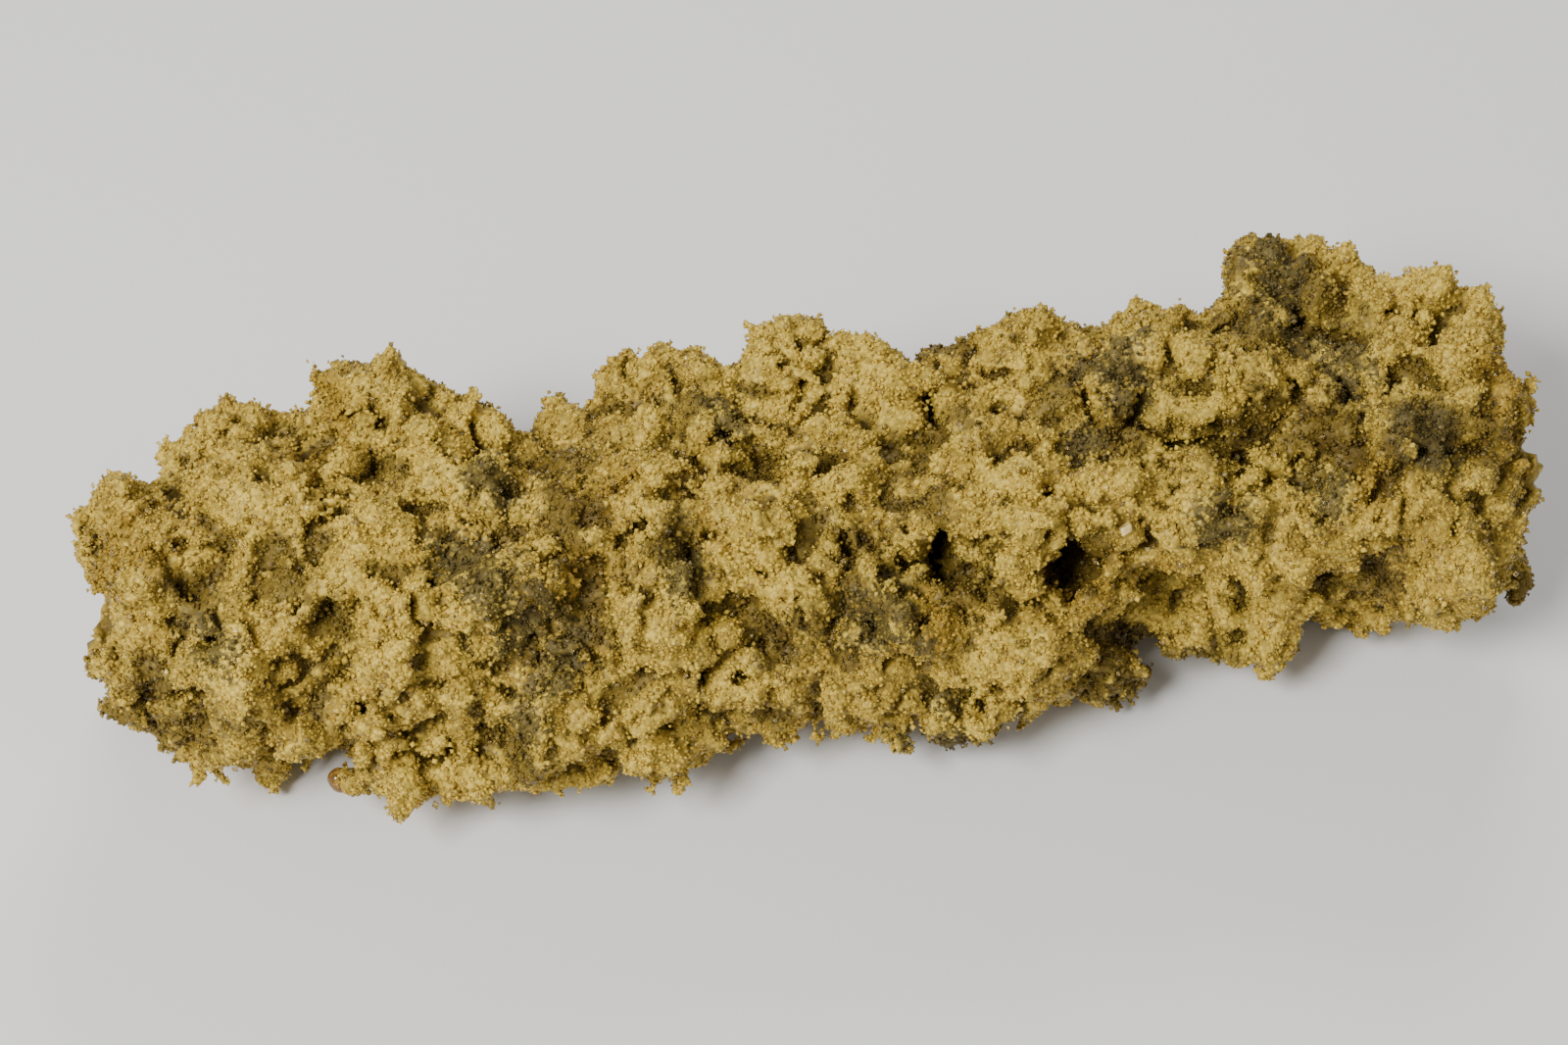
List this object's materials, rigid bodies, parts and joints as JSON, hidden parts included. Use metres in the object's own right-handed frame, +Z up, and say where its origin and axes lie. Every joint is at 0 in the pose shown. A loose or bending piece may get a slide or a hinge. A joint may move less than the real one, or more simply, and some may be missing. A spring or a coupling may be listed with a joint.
{
  "type": "fulgurite",
  "caption": "Lumpy, roughly straight tube of lightning-fused sand, with a glassy channel through it and a pitted, grainy crust, broken off at both ends.",
  "frame": {"origin": "centre of the bounding box in plan, on the flat ground that it rests on", "axes": "+X along the tube, towards the end with the tall back hump; +Y towards the back; +Z up"},
  "size_m": [0.0907, 0.029, 0.0228],
  "materials": {
    "fused_sand": "rough, grainy fused sand, tan and honey-coloured with grey glassy patches"
  },
  "bodies": {
    "root": {"fulgurite": "fused_sand"}
  },
  "joints": []
}
